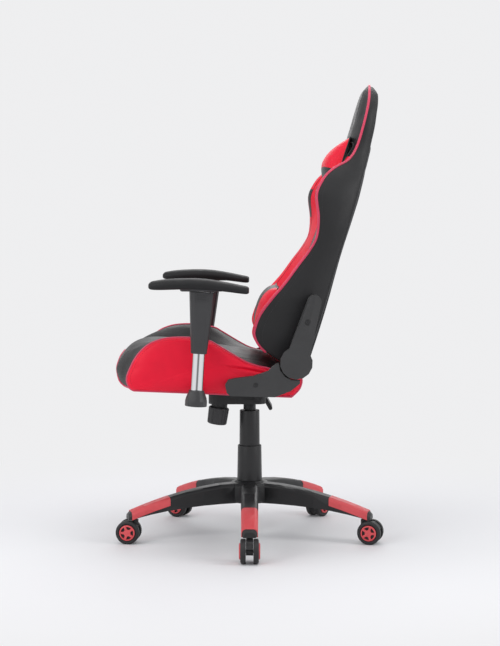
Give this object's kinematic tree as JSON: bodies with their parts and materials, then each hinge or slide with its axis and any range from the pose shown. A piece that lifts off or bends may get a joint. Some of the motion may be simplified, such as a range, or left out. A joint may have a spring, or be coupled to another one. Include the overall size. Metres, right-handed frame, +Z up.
{
  "type": "gaming rocker chair",
  "caption": "Racing-style gaming chair: star base on castors, gas lift, rocking mechanism with tension knob, bucket seat, reclining winged back, pillows, height-adjustable armrests.",
  "frame": {"origin": "On the floor, on the axis of the gas lift, which is the chair's swivel axis", "axes": "+Z up; the sitter faces -Y; +X is the sitter's left, which is the side that the picture shows"},
  "size_m": [0.7369, 0.7246, 1.2332],
  "materials": {
    "base_nylon": "fine moulded grain",
    "red_plastic": "satin",
    "castor_nylon": "satin",
    "castor_tread": "smooth tread",
    "zinc_steel": "zinc plated",
    "black_steel": "powder coat",
    "cover_plastic": "satin",
    "knob_plastic": "satin",
    "hinge_plastic": "fine moulded grain",
    "arm_plastic": "satin",
    "arm_pad_foam": "soft moulded skin",
    "chrome_tube": "polished",
    "black_leather": "fine grained artificial leather",
    "red_leather": "fine grained artificial leather"
  },
  "bodies": {
    "base": {"base_star": "base_nylon", "foot_pad_1": "red_plastic", "foot_pad_2": "red_plastic", "foot_pad_3": "red_plastic", "foot_pad_4": "red_plastic", "foot_pad_5": "red_plastic", "gas_cylinder": "black_steel", "column_cover_lower": "cover_plastic"},
    "castor_1": {"castor_1_fork": "castor_nylon", "castor_1_axle": "zinc_steel"},
    "castor_1_left": {"castor_1_wheel_left": "castor_tread"},
    "castor_1_right": {"castor_1_wheel_right": "castor_tread"},
    "castor_2": {"castor_2_fork": "castor_nylon", "castor_2_axle": "zinc_steel"},
    "castor_2_left": {"castor_2_wheel_left": "castor_tread"},
    "castor_2_right": {"castor_2_wheel_right": "castor_tread"},
    "castor_3": {"castor_3_fork": "castor_nylon", "castor_3_axle": "zinc_steel"},
    "castor_3_left": {"castor_3_wheel_left": "castor_tread"},
    "castor_3_right": {"castor_3_wheel_right": "castor_tread"},
    "castor_4": {"castor_4_fork": "castor_nylon", "castor_4_axle": "zinc_steel"},
    "castor_4_left": {"castor_4_wheel_left": "castor_tread"},
    "castor_4_right": {"castor_4_wheel_right": "castor_tread"},
    "castor_5": {"castor_5_fork": "castor_nylon", "castor_5_axle": "zinc_steel"},
    "castor_5_left": {"castor_5_wheel_left": "castor_tread"},
    "castor_5_right": {"castor_5_wheel_right": "castor_tread"},
    "rotor": {"gas_piston_rod": "zinc_steel"},
    "lift": {"gas_pressure_tube": "black_steel", "column_cover_upper": "cover_plastic", "tilt_housing": "black_steel", "tilt_pin": "zinc_steel", "tension_spring": "zinc_steel"},
    "knob": {"tension_knob": "knob_plastic"},
    "lift_handle": {"lift_lever": "knob_plastic"},
    "seat": {"seat_frame": "black_steel", "seat_cushion": "black_leather", "seat_bolster_left": "red_leather", "seat_bolster_right": "red_leather", "tilt_plate": "black_steel", "seat_hinge_cover_left": "hinge_plastic", "seat_hinge_cover_right": "hinge_plastic", "arm_bracket_left": "chrome_tube", "arm_bracket_right": "chrome_tube", "arm_foot_cap_left": "arm_plastic", "arm_foot_cap_right": "arm_plastic"},
    "sleeve_left": {"arm_sleeve_left": "arm_plastic"},
    "sleeve_right": {"arm_sleeve_right": "arm_plastic"},
    "button_left": {"arm_button_left": "knob_plastic"},
    "button_right": {"arm_button_right": "knob_plastic"},
    "pad_left": {"arm_pad_left": "arm_pad_foam"},
    "pad_right": {"arm_pad_right": "arm_pad_foam"},
    "recline_handle": {"recline_lever": "knob_plastic"},
    "back": {"back_frame": "black_steel", "back_cushion": "black_leather", "back_hinge_cover_left": "hinge_plastic", "back_hinge_cover_right": "hinge_plastic", "neck_pillow": "red_leather", "lumbar_pillow": "black_leather"}
  },
  "joints": [
    {"name": "castor_1_swivel", "type": "hinge", "parent": "base", "child": "castor_1", "pos_m": [0.325, 0, 0.08], "axis": [0, 0, 1], "continuous": true},
    {"name": "castor_1_left_roll", "type": "hinge", "parent": "castor_1", "child": "castor_1_left", "pos_m": [0.343, 0, 0.03188], "axis": [0, 1, 0], "continuous": true},
    {"name": "castor_1_right_roll", "type": "hinge", "parent": "castor_1", "child": "castor_1_right", "pos_m": [0.343, 0, 0.03188], "axis": [0, 1, 0], "continuous": true},
    {"name": "castor_2_swivel", "type": "hinge", "parent": "base", "child": "castor_2", "pos_m": [0.10043, 0.30909, 0.08], "axis": [0, 0, 1], "continuous": true},
    {"name": "castor_2_left_roll", "type": "hinge", "parent": "castor_2", "child": "castor_2_left", "pos_m": [0.10599, 0.32621, 0.03188], "axis": [-0.9511, 0.309, 0], "continuous": true},
    {"name": "castor_2_right_roll", "type": "hinge", "parent": "castor_2", "child": "castor_2_right", "pos_m": [0.10599, 0.32621, 0.03188], "axis": [-0.9511, 0.309, 0], "continuous": true},
    {"name": "castor_3_swivel", "type": "hinge", "parent": "base", "child": "castor_3", "pos_m": [-0.26293, 0.19103, 0.08], "axis": [0, 0, 1], "continuous": true},
    {"name": "castor_3_left_roll", "type": "hinge", "parent": "castor_3", "child": "castor_3_left", "pos_m": [-0.27749, 0.20161, 0.03188], "axis": [-0.5878, -0.809, 0], "continuous": true},
    {"name": "castor_3_right_roll", "type": "hinge", "parent": "castor_3", "child": "castor_3_right", "pos_m": [-0.27749, 0.20161, 0.03188], "axis": [-0.5878, -0.809, 0], "continuous": true},
    {"name": "castor_4_swivel", "type": "hinge", "parent": "base", "child": "castor_4", "pos_m": [-0.26293, -0.19103, 0.08], "axis": [0, 0, 1], "continuous": true},
    {"name": "castor_4_left_roll", "type": "hinge", "parent": "castor_4", "child": "castor_4_left", "pos_m": [-0.27193, -0.20662, 0.03188], "axis": [0.866, -0.5, 0], "continuous": true},
    {"name": "castor_4_right_roll", "type": "hinge", "parent": "castor_4", "child": "castor_4_right", "pos_m": [-0.27193, -0.20662, 0.03188], "axis": [0.866, -0.5, 0], "continuous": true},
    {"name": "castor_5_swivel", "type": "hinge", "parent": "base", "child": "castor_5", "pos_m": [0.10043, -0.30909, 0.08], "axis": [0, 0, 1], "continuous": true},
    {"name": "castor_5_left_roll", "type": "hinge", "parent": "castor_5", "child": "castor_5_left", "pos_m": [0.09824, -0.32696, 0.03188], "axis": [0.9925, -0.1219, 0], "continuous": true},
    {"name": "castor_5_right_roll", "type": "hinge", "parent": "castor_5", "child": "castor_5_right", "pos_m": [0.09824, -0.32696, 0.03188], "axis": [0.9925, -0.1219, 0], "continuous": true},
    {"name": "seat_swivel", "type": "hinge", "parent": "base", "child": "rotor", "pos_m": [0, 0, 0.2], "axis": [0, 0, 1], "continuous": true},
    {"name": "gas_lift", "type": "slide", "parent": "rotor", "child": "lift", "axis": [0, 0, 1], "range_m": [-0.05, 0.03]},
    {"name": "tension_turn", "type": "hinge", "parent": "lift", "child": "knob", "pos_m": [0, -0.082, 0.372], "axis": [0, 0.1392, 0.9903], "range_deg": [-720, 720]},
    {"name": "lift_lever_pull", "type": "hinge", "parent": "lift", "child": "lift_handle", "pos_m": [-0.0545, 0.034, 0.379], "axis": [0, 1, 0], "range_deg": [0, 5], "stiffness_Nm_per_rad": 2, "springref_deg": -2.86},
    {"name": "rock_tilt", "type": "hinge", "parent": "lift", "child": "seat", "pos_m": [0, 0.022, 0.392], "axis": [-1, 0, 0], "range_deg": [0, 12], "stiffness_Nm_per_rad": 120, "springref_deg": -20.05},
    {"name": "sleeve_left_slide", "type": "slide", "parent": "seat", "child": "sleeve_left", "axis": [0, 0.061, 0.9981], "range_m": [-0.07, 0]},
    {"name": "sleeve_right_slide", "type": "slide", "parent": "seat", "child": "sleeve_right", "axis": [0, 0.061, 0.9981], "range_m": [-0.07, 0]},
    {"name": "button_left_press", "type": "slide", "parent": "sleeve_left", "child": "button_left", "axis": [-1, 0, 0], "range_m": [0, 0.003], "stiffness_N_per_m": 800, "springref_m": -0.001},
    {"name": "button_right_press", "type": "slide", "parent": "sleeve_right", "child": "button_right", "axis": [1, 0, 0], "range_m": [0, 0.003], "stiffness_N_per_m": 800, "springref_m": -0.001},
    {"name": "pad_left_swivel", "type": "hinge", "parent": "sleeve_left", "child": "pad_left", "pos_m": [0.317, -0.11917, 0.6904], "axis": [0, 0, 1], "range_deg": [-20, 20]},
    {"name": "pad_right_swivel", "type": "hinge", "parent": "sleeve_right", "child": "pad_right", "pos_m": [-0.317, -0.11917, 0.6904], "axis": [0, 0, 1], "range_deg": [-20, 20]},
    {"name": "recline_lever_pull", "type": "hinge", "parent": "seat", "child": "recline_handle", "pos_m": [-0.29, 0.12, 0.507], "axis": [-1, 0, 0], "range_deg": [0, 25], "stiffness_Nm_per_rad": 1, "springref_deg": -11.46},
    {"name": "back_recline", "type": "hinge", "parent": "seat", "child": "back", "pos_m": [0, 0.12, 0.507], "axis": [-1, 0, 0], "range_deg": [-8, 50]}
  ]
}
